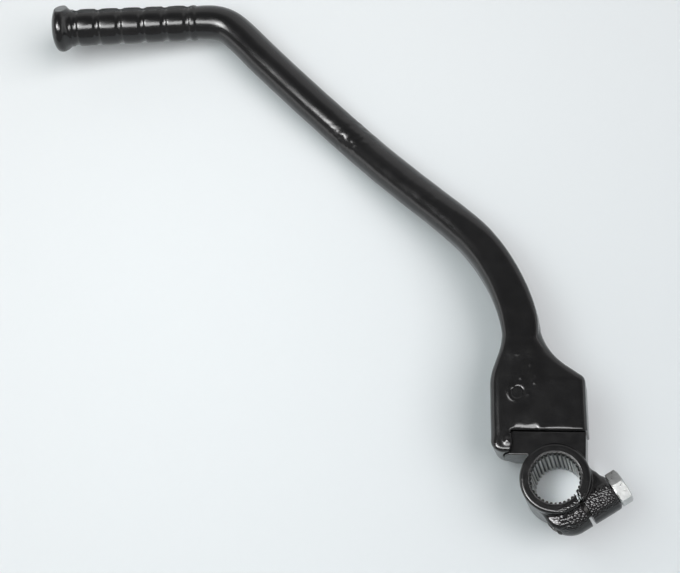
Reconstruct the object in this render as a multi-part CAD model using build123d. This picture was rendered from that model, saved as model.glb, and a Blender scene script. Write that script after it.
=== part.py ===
from build123d import *
import os
from math import sin, cos, tan, radians, pi, sqrt, acos

os.makedirs("parts", exist_ok=True)

# Folding kick start lever, millimetres.
# Frame: origin on the kick shaft's axis at the hub's rear face, +Z outwards along the
# shaft, +Y up the lever along the fold axis, +X to the right seen from outside.

# ---------------------------------------------------------------- driving dimensions
HUB_R = 11.05            # clamp ring outside radius
HUB_L = 23.0             # clamp ring length along the shaft
HUB_BEVEL = 0.95         # bevel on the ring's front outer edge
SPL_TEETH = 36           # serration teeth
SPL_ROOT = 8.0           # serration root radius (16 mm nominal)
SPL_TIP = 7.4            # serration tip radius
SPL_TIP_DEG = 3.9        # tooth tip land, degrees of turn
SPL_ROOT_DEG = 2.7       # tooth root land, degrees of turn
BORE_MOUTH = 8.6         # radius of the 45 degree bevel at the front mouth

FOLD_X = -5.6            # fold axis (parallel to Y)
FOLD_Z = 15.6
STUB_R = 5.5             # pivot stub on the hub
STUB_TOP = 35.8
STUB_FIT = 0.06          # radial running clearance in the arm's bore

NECK_TOP = 15.05         # thrust face of the hub
NECK_BOTTOM = 7.4
NECK_R = 10.85           # rounded cheek about the fold axis
NECK_RIGHT = 9.3
NECK_FRONT = 6.0         # front flat, from the fold axis
NECK_REAR = 7.8
LEDGE_Z0, LEDGE_Z1 = 11.4, 8.15   # stop ledge behind the ear, below the fold axis
LEDGE_LEFT = 13.0
LEDGE_Y0, LEDGE_Y1 = 10.6, 14.85

CLAMP_DEG = 33.2         # pinch bolt's direction above +X
CLAMP_V = 11.5           # pinch bolt's distance from the shaft axis
CLAMP_Z = 15.0
LUG_R = 5.8              # barrel around the pinch bolt
LUG_OUT = 13.4           # head side end of the barrel
LUG_IN = -9.2            # thread side end of the barrel
LUG_NOSE = 8.0           # rounding of the thread side end
SLIT_U = 2.9             # slit's distance from the shaft axis
SLIT_W = 1.2

BOLT_R = 3.0             # M6
BOLT_AF = 10.0
BOLT_HEAD = 4.0
BOLT_END = -8.1
BOLT_HOLE = 3.25
BOLT_TURN = 24.0         # turn of the hexagon about the bolt

PIN_R = 2.0              # retaining pin, tangent to the stub's groove
PIN_X = -12.1
PIN_Y = 27.1
PIN_FIT = 0.02
GROOVE_R = 4.4           # floor of the stub's groove

BALL_R = 2.0             # detent ball
BALL_Y = 32.4
BALL_OUT = 0.9           # how far the ball stands out of the stub
BALL_WELL = 4.2          # well depth behind the fold axis
SPRING_R = 1.6
SPRING_WIRE = 0.5
SPRING_PITCH = 1.2

SEAL_Y = 18.3            # seal ring near the stub's foot
SEAL_MAJOR = 4.58
SEAL_MINOR = 0.9

HEAD_HALF = 8.0          # head half thickness
HEAD_TOP = 50.6          # where the head runs into the shank
NOTCH_Y = 15.15          # milled thrust face of the head
EAR_Y = 8.0              # foot of the stop ear
EAR_R = 11.15            # ear's hollow inner face, about the fold axis
BORE_TOP = 36.4

PEDAL_ROOT = Vector(-131.2, 170.17, 10.1)
PEDAL_DIR = Vector(-0.98367, -0.08340, 0.15947)
PEDAL_ROLL = 43.0        # the trimmed parting line is turned this far towards +Z
GROOVE_S = (6.15, 14.45, 22.75, 31.05, 39.35, 47.4)
GROOVE_DEPTH = 0.62
GROOVE_HALF = 1.25
PEDAL_END = 56.4         # tip of the domed end, from the pedal's root

# arm stations: centre x, y, z, half width, half thickness, corner radius
ARM = [
    (-105.70, 152.80, 7.93, 6.15, 6.15, 6.10),
    (-93.90, 141.56, 7.30, 6.12, 6.12, 6.07),
    (-83.09, 131.46, 6.70, 6.10, 6.10, 6.05),
    (-71.98, 121.32, 6.15, 6.10, 6.10, 6.05),
    (-60.54, 110.77, 7.75, 6.10, 6.10, 6.05),
    (-51.88, 103.16, 9.15, 6.08, 6.10, 6.00),
    (-43.05, 95.56, 10.50, 6.05, 6.15, 5.80),
    (-34.58, 88.05, 11.75, 6.02, 6.30, 5.50),
    (-29.18, 82.78, 12.45, 6.00, 6.50, 5.15),
    (-24.38, 76.94, 13.08, 5.98, 6.75, 4.75),
    (-20.29, 70.68, 13.65, 5.98, 7.02, 4.35),
    (-16.82, 64.14, 14.18, 6.00, 7.32, 4.00),
    (-14.07, 57.35, 14.70, 6.10, 7.62, 3.65),
    (-12.25, 51.00, 15.20, 6.15, 7.90, 3.20),
    (-11.80, 46.50, 15.54, 6.10, 7.88, 3.10),
    (-11.70, 42.00, 15.60, 5.90, 7.70, 3.00),
    (-11.60, 37.00, 15.60, 5.40, 7.30, 2.90),
]


def save(shape, name):
    shape.label = name
    export_step(shape, f"parts/{name}.step")
    print(name, round(shape.volume, 1), shape.is_valid)


def drum(radius, start, axis, length):
    """Cylinder from a point along a direction."""
    return Plane(origin=start, z_dir=axis).location * Cylinder(
        radius, length, align=(Align.CENTER, Align.CENTER, Align.MIN)
    )


def block(x0, x1, y0, y1, z0, z1):
    return Pos((x0 + x1) / 2, (y0 + y1) / 2, (z0 + z1) / 2) * Box(x1 - x0, y1 - y0, z1 - z0)


# ---------------------------------------------------------------- clamp hub
UP = Vector(0, 1, 0)
OUT = Vector(0, 0, 1)
ca, sa = cos(radians(CLAMP_DEG)), sin(radians(CLAMP_DEG))
U = Vector(ca, sa, 0)             # along the pinch bolt, towards its head
V = Vector(sa, -ca, 0)            # from the shaft axis to the pinch bolt
BOLT_0 = V * CLAMP_V + OUT * CLAMP_Z


def uv(u, v, z=0.0):
    p = U * u + V * v
    return Vector(p.X, p.Y, z)


ring = Cylinder(HUB_R, HUB_L, align=(Align.CENTER, Align.CENTER, Align.MIN))
ring = chamfer(ring.edges().sort_by(Axis.Z)[-1], HUB_BEVEL)
ring = chamfer(ring.edges().sort_by(Axis.Z)[0], 0.7)

neck_plan = drum(NECK_R, Vector(FOLD_X, NECK_BOTTOM, FOLD_Z), UP, NECK_TOP - NECK_BOTTOM)
neck_plan = neck_plan + block(FOLD_X, NECK_RIGHT, NECK_BOTTOM - 4, NECK_TOP, FOLD_Z - 14, FOLD_Z + 14)
neck = neck_plan & block(-40, 40, -5, NECK_TOP, FOLD_Z - NECK_REAR, FOLD_Z + NECK_FRONT)
ledge = block(
    FOLD_X - LEDGE_LEFT, NECK_RIGHT - 3, LEDGE_Y0, LEDGE_Y1, FOLD_Z - LEDGE_Z0, FOLD_Z - LEDGE_Z1
) + block(-6.0, 5.0, 4.0, LEDGE_Y1, FOLD_Z - LEDGE_Z0, FOLD_Z)
stub = drum(STUB_R, Vector(FOLD_X, NECK_TOP - 4, FOLD_Z), UP, STUB_TOP - NECK_TOP + 4)
stub = chamfer(stub.edges().sort_by(Axis.Y)[-1], 0.8)

nose_c = (LUG_R - LUG_NOSE, LUG_IN + LUG_NOSE)
nose_end = LUG_IN + LUG_NOSE - sqrt(LUG_NOSE**2 - nose_c[0] ** 2)
nose_mid = (nose_c[0] + LUG_NOSE * cos(radians(40)), nose_c[1] - LUG_NOSE * sin(radians(40)))
barrel_face = make_face(Wire([
    Line((0, nose_end), (0, LUG_OUT)),
    Line((0, LUG_OUT), (LUG_R - 1.2, LUG_OUT)),
    ThreePointArc(
        (LUG_R - 1.2, LUG_OUT), (LUG_R - 1.2 + 1.2 * sin(radians(45)), LUG_OUT - 1.2 + 1.2 * cos(radians(45))), (LUG_R, LUG_OUT - 1.2)
    ),
    Line((LUG_R, LUG_OUT - 1.2), (LUG_R, nose_c[1])),
    ThreePointArc((LUG_R, nose_c[1]), nose_mid, (0, nose_end)),
]))
barrel = Plane(origin=BOLT_0, x_dir=V, z_dir=V.cross(U)).location * revolve(barrel_face, Axis.Y)

web_pts = [
    uv(0, 0), uv(10.4, 1.2), uv(12.0, 4.2), uv(12.9, 8.0), uv(12.9, 12.0),
    uv(-4.0, 13.0), uv(-7.3, 13.3), uv(-8.7, 11.6), uv(-9.15, 9.4), uv(-9.15, 4.5),
]
web = extrude(make_face(Polyline(*[(p.X, p.Y) for p in web_pts], close=True)), 9.6)
web = Pos(0, 0, CLAMP_Z - 4.8) * web
web = fillet(web.faces().sort_by(Axis.Z)[-1].edges() + web.faces().sort_by(Axis.Z)[0].edges(), 1.2)

hub = ring + neck + ledge + stub + web + barrel

# serrated bore: truncated teeth with cylindrical tip and root lands
flank = (360.0 / SPL_TEETH - SPL_TIP_DEG - SPL_ROOT_DEG) / 2


def polar(r, deg):
    return (r * cos(radians(deg)), r * sin(radians(deg)))


bore_edges = []
for k in range(SPL_TEETH):
    a = k * 360.0 / SPL_TEETH
    a1 = a + SPL_TIP_DEG
    a2 = a1 + flank
    a3 = a2 + SPL_ROOT_DEG
    a4 = a + 360.0 / SPL_TEETH
    bore_edges.append(ThreePointArc(polar(SPL_TIP, a), polar(SPL_TIP, (a + a1) / 2), polar(SPL_TIP, a1)))
    bore_edges.append(Line(polar(SPL_TIP, a1), polar(SPL_ROOT, a2)))
    bore_edges.append(ThreePointArc(polar(SPL_ROOT, a2), polar(SPL_ROOT, (a2 + a3) / 2), polar(SPL_ROOT, a3)))
    bore_edges.append(Line(polar(SPL_ROOT, a3), polar(SPL_TIP, a4)))
bore_face = make_face(Wire(bore_edges))
bore = Pos(0, 0, -2) * extrude(bore_face, HUB_L + 4)
lead = BORE_MOUTH - SPL_TIP + 0.05
mouth_front = Pos(0, 0, HUB_L - lead) * Cone(
    SPL_TIP - 0.05, BORE_MOUTH, lead, align=(Align.CENTER, Align.CENTER, Align.MIN)
)

slit_pts = [uv(SLIT_U - SLIT_W / 2, 4), uv(SLIT_U + SLIT_W / 2, 4), uv(SLIT_U + SLIT_W / 2, 22), uv(SLIT_U - SLIT_W / 2, 22)]
slit = Pos(0, 0, -2) * extrude(make_face(Polyline(*[(p.X, p.Y) for p in slit_pts], close=True)), HUB_L + 4)

bolt_clear = drum(BOLT_HOLE, BOLT_0 + U * SLIT_U, U, 14.0)
bolt_tap = drum(BOLT_R + 0.03, BOLT_0 + U * (LUG_IN - 2), U, SLIT_U - LUG_IN + 2.5)
spot_face = drum(6.4, BOLT_0 + U * LUG_OUT, U, 6.0)

pin_groove = drum(STUB_R + 1, Vector(FOLD_X, PIN_Y - PIN_R - 0.05, FOLD_Z), UP, 2 * PIN_R + 0.1) - drum(
    GROOVE_R, Vector(FOLD_X, PIN_Y - PIN_R - 1, FOLD_Z), UP, 2 * PIN_R + 2
)
seal_half = SEAL_MINOR + 0.12
seal_groove = drum(STUB_R + 1, Vector(FOLD_X, SEAL_Y - seal_half, FOLD_Z), UP, 2 * seal_half) - drum(
    SEAL_MAJOR - SEAL_MINOR - 0.04, Vector(FOLD_X, SEAL_Y - 2, FOLD_Z), UP, 4
)
BALL_Z = FOLD_Z + STUB_R + BALL_OUT - BALL_R
ball_well = drum(BALL_R + 0.05, Vector(FOLD_X, BALL_Y, FOLD_Z - BALL_WELL), OUT, 14)

hub = hub - bore - mouth_front - slit - bolt_clear - bolt_tap - spot_face
hub = hub - pin_groove - seal_groove - ball_well

# ---------------------------------------------------------------- pinch bolt
bolt_plane = Plane(origin=BOLT_0 + U * LUG_OUT, z_dir=U, x_dir=V)
hexagon = RegularPolygon(BOLT_AF / 2, 6, major_radius=False, rotation=BOLT_TURN)
head = extrude(hexagon, BOLT_HEAD - 0.25)
head = Pos(0, 0, 0.25) * head
crown = Cone(
    BOLT_AF / 2 - 0.2 + BOLT_HEAD * 1.732, BOLT_AF / 2 - 0.2, BOLT_HEAD,
    align=(Align.CENTER, Align.CENTER, Align.MIN),
)
head = head & crown
collar = Cylinder(4.6, 0.35, align=(Align.CENTER, Align.CENTER, Align.MIN))
shank_len = LUG_OUT - BOLT_END
shank = Pos(0, 0, -shank_len) * Cylinder(BOLT_R, shank_len + 0.2, align=(Align.CENTER, Align.CENTER, Align.MIN))
shank = chamfer(shank.edges().sort_by(Axis.Z)[0], 0.7)
pinch_bolt = bolt_plane.location * (head + collar + shank)

# ---------------------------------------------------------------- pin, ball, spring, seal
pin = drum(PIN_R, Vector(PIN_X, PIN_Y, FOLD_Z - HEAD_HALF + 0.35), OUT, 2 * HEAD_HALF - 0.75)
pin = chamfer(pin.edges().filter_by(GeomType.CIRCLE), 0.35)

ball = Pos(FOLD_X, BALL_Y, BALL_Z) * Sphere(BALL_R)

spring_len = (BALL_Z - BALL_R) - (FOLD_Z - BALL_WELL) - SPRING_WIRE - 0.1
coil_path = Helix(pitch=SPRING_PITCH, height=spring_len, radius=SPRING_R)
coil = sweep(
    Plane(origin=coil_path @ 0, z_dir=coil_path % 0) * Circle(SPRING_WIRE / 2), path=coil_path, is_frenet=True
)
spring = Pos(FOLD_X, BALL_Y, FOLD_Z - BALL_WELL + SPRING_WIRE / 2 + 0.05) * coil

seal = Plane(origin=(FOLD_X, SEAL_Y, FOLD_Z), z_dir=UP).location * Torus(SEAL_MAJOR, SEAL_MINOR)

# ---------------------------------------------------------------- kick arm: shank
AXIS_OUT = PEDAL_DIR.normalized()
corner = PEDAL_ROOT - AXIS_OUT * 7.4
first_arm = Vector(*ARM[0][:3])
ARM_DIR = (first_arm - corner).normalized()
BEND_R = 13.5
turn = acos(max(-1.0, min(1.0, (AXIS_OUT * -1).dot(ARM_DIR))))
tang = BEND_R * tan(turn / 2)
t_in = corner + AXIS_OUT * tang
t_out = corner + ARM_DIR * tang
to_centre = (AXIS_OUT + ARM_DIR).normalized()
bend_c = corner + to_centre * (BEND_R / cos(turn / 2))

stations = []
for s, r in ((8.0, 5.3), (5.0, 5.6), (2.4, 6.06)):
    p = PEDAL_ROOT + AXIS_OUT * s
    stations.append((p.X, p.Y, p.Z, r, r, r - 0.05))
e1 = (t_in - bend_c).normalized()
e2 = (AXIS_OUT * -1)
for k in range(7):
    ang = turn * k / 6
    p = bend_c + (e1 * cos(ang) + e2 * sin(ang)) * BEND_R
    stations.append((p.X, p.Y, p.Z, 6.15, 6.15, 6.1))
stations += ARM


def even_stations(rows, step):
    """Smooth interpolation of the stations at an even spacing along the arm."""
    t = [0.0]
    for a, b in zip(rows, rows[1:]):
        t.append(t[-1] + sqrt(sum((a[k] - b[k]) ** 2 for k in range(3))))
    n = len(rows)
    slope = []
    for i in range(n):
        if i in (0, n - 1):
            j = 0 if i == 0 else n - 2
            slope.append([(rows[j + 1][k] - rows[j][k]) / (t[j + 1] - t[j]) for k in range(6)])
        else:
            h0, h1 = t[i] - t[i - 1], t[i + 1] - t[i]
            slope.append([
                (h1 * (rows[i][k] - rows[i - 1][k]) / h0 + h0 * (rows[i + 1][k] - rows[i][k]) / h1) / (h0 + h1)
                for k in range(6)
            ])
    count = int(round(t[-1] / step))
    out = []
    for m in range(count + 1):
        x = t[-1] * m / count
        i = max(j for j in range(n - 1) if t[j] <= x + 1e-9)
        h = t[i + 1] - t[i]
        q = (x - t[i]) / h
        h00, h10 = 2 * q**3 - 3 * q**2 + 1, q**3 - 2 * q**2 + q
        h01, h11 = -2 * q**3 + 3 * q**2, q**3 - q**2
        out.append(tuple(
            h00 * rows[i][k] + h10 * h * slope[i][k] + h01 * rows[i + 1][k] + h11 * h * slope[i + 1][k] for k in range(6)
        ))
    return out


stations = even_stations(stations, 5.0)


def rounded(a, b, r, n=32):
    """Points at even spacing round a rounded rectangle, from the middle of its right side."""
    la, lb, arc = a - r, b - r, r * pi / 2
    runs = [("l", lb), ("c", arc), ("l", 2 * la), ("c", arc), ("l", 2 * lb), ("c", arc), ("l", 2 * la), ("c", arc), ("l", lb)]
    total = sum(x[1] for x in runs)
    starts = [(a, 0.0), (a, lb), (la, b), (-la, b), (-a, lb), (-a, -lb), (-la, -b), (la, -b), (a, -lb)]
    dirs = [(0, 1), None, (-1, 0), None, (0, -1), None, (1, 0), None, (0, 1)]
    centres = [None, (la, lb), None, (-la, lb), None, (-la, -lb), None, (la, -lb), None]
    a0 = [None, 0, None, 90, None, 180, None, 270, None]
    pts = []
    for i in range(n):
        d = total * i / n
        for k, (kind, ln) in enumerate(runs):
            if d <= ln or k == len(runs) - 1:
                if kind == "l":
                    pts.append((starts[k][0] + dirs[k][0] * d, starts[k][1] + dirs[k][1] * d))
                else:
                    th = radians(a0[k]) + d / r
                    pts.append((centres[k][0] + r * cos(th), centres[k][1] + r * sin(th)))
                break
            d -= ln
    return pts


centres = [Vector(*s[:3]) for s in stations]
wires = []
for i, s in enumerate(stations):
    if i == 0:
        t = centres[1] - centres[0]
    elif i == len(stations) - 1:
        t = centres[-1] - centres[-2]
    else:
        d0 = centres[i] - centres[i - 1]
        d1 = centres[i + 1] - centres[i]
        t = d0.normalized() * d1.length + d1.normalized() * d0.length
    t = t.normalized()
    w = t.cross(OUT).normalized()
    h = w.cross(t).normalized()
    ring_pts = [centres[i] + w * q[0] + h * q[1] for q in rounded(*s[3:])]
    wires.append(Wire([Edge.make_spline(ring_pts, periodic=True)]))
shank_solid = Solid.make_loft(wires, ruled=False)

# ---------------------------------------------------------------- kick arm: ribbed pedal
def land(s):
    return 6.55 + 0.0075 * s


here = (land(4.6) - 0.2, 3.5)
profile = [Line((0, 3.0), (6.25, 3.0)), Line((6.25, 3.0), here)]
for g in GROOVE_S:
    a = (land(g) - 0.16, g - GROOVE_HALF)
    mid_s = (here[1] + a[1]) / 2
    crown_r = land(mid_s) if a[1] - here[1] > 3 else (here[0] + a[0]) / 2 + 0.05
    profile.append(ThreePointArc(here, (crown_r, mid_s), a))
    b = (land(g) - 0.16, g + GROOVE_HALF)
    profile.append(ThreePointArc(a, (land(g) - GROOVE_DEPTH, g), b))
    here = b
flare0 = (6.75, 49.6)
profile.append(Line(here, flare0))
profile.append(Spline(
    flare0, (7.4, 50.45), (8.4, 51.4), (8.9, 52.5), (8.62, 53.8), (7.75, 54.9), (5.6, 55.82), (2.8, 56.28), (0, PEDAL_END),
    tangents=((0.1, 1.0), (-1.0, 0.0)),
))
profile.append(Line((0, PEDAL_END), (0, 3.0)))
pedal_face = make_face(Wire(profile))
# the profile plane is drawn as (radius, distance along the pedal)
pedal = revolve(pedal_face, Axis.Y)
side = (UP - AXIS_OUT * UP.dot(AXIS_OUT)).normalized()
front = side.cross(AXIS_OUT)
if front.Z < 0:
    front = front * -1
flat_n = side * cos(radians(PEDAL_ROLL)) + front * sin(radians(PEDAL_ROLL))
# local frame of the revolve: Y along the pedal, X along the trimmed side
zloc = flat_n.cross(AXIS_OUT)
pedal_plane = Plane(origin=PEDAL_ROOT, x_dir=flat_n, z_dir=zloc)
trim = []
for sgn in (1, -1):
    t = Box(4, 45.8, 20, align=(Align.MIN, Align.MIN, Align.CENTER))
    t = Pos(5.98, 3.9, 0) * Rot(0, 0, -0.43) * t
    if sgn < 0:
        t = mirror(t, Plane.YZ)
    trim.append(t)
pedal = pedal - trim[0] - trim[1]
pedal = pedal_plane.location * pedal

# ---------------------------------------------------------------- kick arm: head
outline = [
    ((9.95, 12.0), 0), ((8.85, 32.35), 2.8), ((-3.18, 40.87), 26.0), ((-5.97, HEAD_TOP), 0), ((-18.25, HEAD_TOP), 0),
    ((-18.0, 42.6), 20.0), ((-21.2, 32.9), 20.0), ((-20.15, EAR_Y), 4.2), ((-11.0, EAR_Y), 0), ((-11.0, 12.0), 0),
]
head_wire = Polyline(*[p for p, r in outline], close=True)
head_face = make_face(head_wire)
for p, r in outline:
    if r:
        v = head_face.vertices().sort_by_distance(Vector(p[0], p[1], 0))[0]
        head_face = fillet(v, r)
head_block = Pos(0, 0, FOLD_Z - HEAD_HALF) * extrude(head_face, 2 * HEAD_HALF)


def rim_edges(solid, keep):
    out = []
    for z in (FOLD_Z - HEAD_HALF, FOLD_Z + HEAD_HALF):
        for e in solid.edges():
            c = e.center()
            b = e.bounding_box()
            if abs(b.min.Z - z) < 1e-4 and abs(b.max.Z - z) < 1e-4 and keep(c):
                out.append(e)
    return out


left_rim = rim_edges(head_block, lambda c: c.X < -13.5 and c.Y < HEAD_TOP - 0.1)
head_block = fillet(left_rim, 3.0)
right_rim = rim_edges(head_block, lambda c: c.X > -6.5 and 12.1 < c.Y < HEAD_TOP - 0.1)
head_block = fillet(right_rim, 2.2)

kick_arm = head_block + shank_solid + pedal

# milled notch that leaves the stop ear, bore for the stub, pin hole, ball track
notch = drum(EAR_R, Vector(FOLD_X, 0, FOLD_Z), UP, NOTCH_Y) + block(FOLD_X, 30, 0, NOTCH_Y, 0, 40)
bore_arm = drum(STUB_R + STUB_FIT, Vector(FOLD_X, 5, FOLD_Z), UP, BORE_TOP - 5)
bore_tip = Plane(origin=(FOLD_X, BORE_TOP, FOLD_Z), z_dir=UP).location * Cone(
    STUB_R + STUB_FIT, 1.2, 2.2, align=(Align.CENTER, Align.CENTER, Align.MIN)
)
lead_in = Plane(origin=(FOLD_X, NOTCH_Y - 0.01, FOLD_Z), z_dir=UP).location * Cone(
    STUB_R + STUB_FIT + 0.6, STUB_R + STUB_FIT, 0.6, align=(Align.CENTER, Align.CENTER, Align.MIN)
)
pin_hole = drum(PIN_R + PIN_FIT, Vector(PIN_X, PIN_Y, 0), OUT, 40)
pin_sink = Pos(PIN_X, PIN_Y, FOLD_Z + HEAD_HALF - 0.35) * Cone(
    PIN_R + PIN_FIT, PIN_R + PIN_FIT + 0.45, 0.45, align=(Align.CENTER, Align.CENTER, Align.MIN)
)
track_r = BALL_R + 0.09
orbit = BALL_Z - FOLD_Z
track_face = Plane(origin=(FOLD_X, BALL_Y, FOLD_Z + orbit), z_dir=Vector(1, 0, 0)).location * Circle(track_r)
fold_axis = Axis((FOLD_X, 0, FOLD_Z), (0, 1, 0))
track = revolve(track_face, fold_axis, -90)
seat_a = Pos(FOLD_X, BALL_Y, FOLD_Z + orbit) * Sphere(track_r)
seat_b = Pos(FOLD_X - orbit, BALL_Y, FOLD_Z) * Sphere(track_r)

kick_arm = kick_arm - notch - bore_arm - bore_tip - lead_in - pin_hole - pin_sink
kick_arm = kick_arm - track - seat_a - seat_b

save(hub, "clamp_hub")
save(pinch_bolt, "pinch_bolt")
save(pin, "retaining_pin")
save(ball, "detent_ball")
save(spring, "detent_spring")
save(seal, "dust_seal")
save(kick_arm, "kick_arm")
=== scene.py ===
import math

import bpy
import numpy as np
from mathutils import Matrix, Vector


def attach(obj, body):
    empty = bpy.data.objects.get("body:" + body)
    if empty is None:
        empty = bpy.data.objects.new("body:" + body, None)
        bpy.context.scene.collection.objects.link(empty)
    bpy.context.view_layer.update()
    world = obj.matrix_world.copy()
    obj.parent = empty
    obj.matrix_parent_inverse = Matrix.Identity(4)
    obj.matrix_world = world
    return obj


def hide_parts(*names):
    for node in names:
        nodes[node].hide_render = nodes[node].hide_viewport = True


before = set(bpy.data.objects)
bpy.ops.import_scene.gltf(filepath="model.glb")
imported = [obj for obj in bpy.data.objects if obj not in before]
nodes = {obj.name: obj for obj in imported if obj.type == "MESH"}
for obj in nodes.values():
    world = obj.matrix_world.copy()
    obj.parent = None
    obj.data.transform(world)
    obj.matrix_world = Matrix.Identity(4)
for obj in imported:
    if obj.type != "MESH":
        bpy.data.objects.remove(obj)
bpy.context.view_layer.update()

MM = 0.001

# ------------------------------------------------------------------ sizes, millimetres
FOLD_X, FOLD_Z = -5.6, 15.6
HEAD_FRONT, HEAD_REAR = 23.6, 7.6
NOTCH_Y, EAR_Y, EAR_R = 15.15, 8.0, 11.15
PIN_X, PIN_Y = -12.1, 27.1
PEDAL_ROOT = np.array([-131.2, 170.17, 10.1])
PEDAL_DIR = np.array([-0.98367, -0.08340, 0.15947])
PEDAL_DIR = PEDAL_DIR / np.linalg.norm(PEDAL_DIR)
PEDAL_ROLL = math.radians(43.0)
GROOVES = (6.15, 14.45, 22.75, 31.05, 39.35, 47.4)
CLAMP = math.radians(33.2)
CLAMP_V, CLAMP_Z = 11.5, 15.0
ARM = [
    (-105.70, 152.80, 7.93, 6.15, 6.15, 6.10),
    (-93.90, 141.56, 7.30, 6.12, 6.12, 6.07),
    (-83.09, 131.46, 6.70, 6.10, 6.10, 6.05),
    (-71.98, 121.32, 6.15, 6.10, 6.10, 6.05),
    (-60.54, 110.77, 7.75, 6.10, 6.10, 6.05),
    (-51.88, 103.16, 9.15, 6.08, 6.10, 6.00),
    (-43.05, 95.56, 10.50, 6.05, 6.15, 5.80),
    (-34.58, 88.05, 11.75, 6.02, 6.30, 5.50),
    (-29.18, 82.78, 12.45, 6.00, 6.50, 5.15),
    (-24.38, 76.94, 13.08, 5.98, 6.75, 4.75),
    (-20.29, 70.68, 13.65, 5.98, 7.02, 4.35),
    (-16.82, 64.14, 14.18, 6.00, 7.32, 4.00),
    (-14.07, 57.35, 14.70, 6.10, 7.62, 3.65),
    (-12.25, 51.00, 15.20, 6.12, 7.88, 3.20),
    (-11.75, 46.50, 15.52, 5.85, 7.78, 3.10),
    (-11.70, 42.00, 15.60, 5.45, 7.55, 3.00),
    (-11.60, 37.00, 15.60, 4.90, 7.00, 2.90),
]


# ------------------------------------------------------------------ small field kit
def smin(a, b, k):
    h = np.clip(0.5 + 0.5 * (b - a) / k, 0, 1)
    return b + (a - b) * h - k * h * (1 - h)


def smax(a, b, k):
    return -smin(-a, -b, k)


def step(x, a, b):
    t = np.clip((x - a) / (b - a), 0, 1)
    return t * t * (3 - 2 * t)


def lattice(i, j, k, seed):
    h = (i * 374761393 + j * 668265263 + k * 1442695041 + seed * 974711 + 12345) & 0xFFFFFFFF
    h = ((h ^ (h >> 13)) * 1274126177) & 0xFFFFFFFF
    h = ((h ^ (h >> 16)) * 2246822519) & 0xFFFFFFFF
    h = h ^ (h >> 15)
    return h.astype(np.float64) / 2147483647.5 - 1.0


def noise(p, scale, seed):
    """Smooth noise from -1 to 1 with that grain size."""
    q = p / scale + 1000.0
    i = np.floor(q).astype(np.int64)
    f = q - i
    w = f * f * f * (f * (f * 6 - 15) + 10)
    out = np.zeros(len(p))
    for a in (0, 1):
        wa = w[:, 0] if a else 1 - w[:, 0]
        for b in (0, 1):
            wb = w[:, 1] if b else 1 - w[:, 1]
            for c in (0, 1):
                wc = w[:, 2] if c else 1 - w[:, 2]
                out += lattice(i[:, 0] + a, i[:, 1] + b, i[:, 2] + c, seed) * wa * wb * wc
    return out


def polygon(q, v):
    """Signed distance from points to a closed outline, negative inside."""
    d = np.full(len(q), 1e9)
    inside = np.zeros(len(q), bool)
    n = len(v)
    for i in range(n):
        a, b = v[i], v[(i + 1) % n]
        e = b - a
        wx, wy = q[:, 0] - a[0], q[:, 1] - a[1]
        t = np.clip((wx * e[0] + wy * e[1]) / max(e @ e, 1e-12), 0, 1)
        d = np.minimum(d, (wx - e[0] * t) ** 2 + (wy - e[1] * t) ** 2)
        up = (a[1] <= q[:, 1]) & (b[1] > q[:, 1])
        down = (a[1] > q[:, 1]) & (b[1] <= q[:, 1])
        left = e[0] * wy - wx * e[1]
        inside ^= (up & (left > 0)) | (down & (left < 0))
    d = np.sqrt(d)
    return np.where(inside, -d, d)


def rounded_outline(rows, n=14):
    """Outline with its corners rounded to the given radii."""
    out = []
    m = len(rows)
    for i in range(m):
        p = np.array(rows[i][0], float)
        r = rows[i][1]
        a = np.array(rows[i - 1][0], float) - p
        b = np.array(rows[(i + 1) % m][0], float) - p
        a, b = a / np.linalg.norm(a), b / np.linalg.norm(b)
        if r <= 0:
            out.append(p)
            continue
        half = math.acos(max(-1, min(1, a @ b))) / 2
        centre = p + (a + b) / np.linalg.norm(a + b) * r / math.sin(half)
        s = p + a * r / math.tan(half) - centre
        e = p + b * r / math.tan(half) - centre
        t0, t1 = math.atan2(s[1], s[0]), math.atan2(e[1], e[0])
        dt = (t1 - t0 + math.pi) % (2 * math.pi) - math.pi
        for k in range(n + 1):
            t = t0 + dt * k / n
            out.append(centre + r * np.array([math.cos(t), math.sin(t)]))
    return np.array(out)


def chunks(field, p, size=150000):
    out = np.empty(len(p))
    for i in range(0, len(p), size):
        out[i : i + size] = field(p[i : i + size])
    return out


def slope(field, p, e=0.03):
    g = np.empty((len(p), 3))
    for k in range(3):
        o = np.zeros(3)
        o[k] = e
        g[:, k] = (chunks(field, p + o) - chunks(field, p - o)) / (2 * e)
    return g


EDGES = [(0, 1), (2, 3), (4, 5), (6, 7), (0, 2), (1, 3), (4, 6), (5, 7), (0, 4), (1, 5), (2, 6), (3, 7)]
CORNER = np.array([[i, j, k] for i in (0, 1) for j in (0, 1) for k in (0, 1)])


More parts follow.
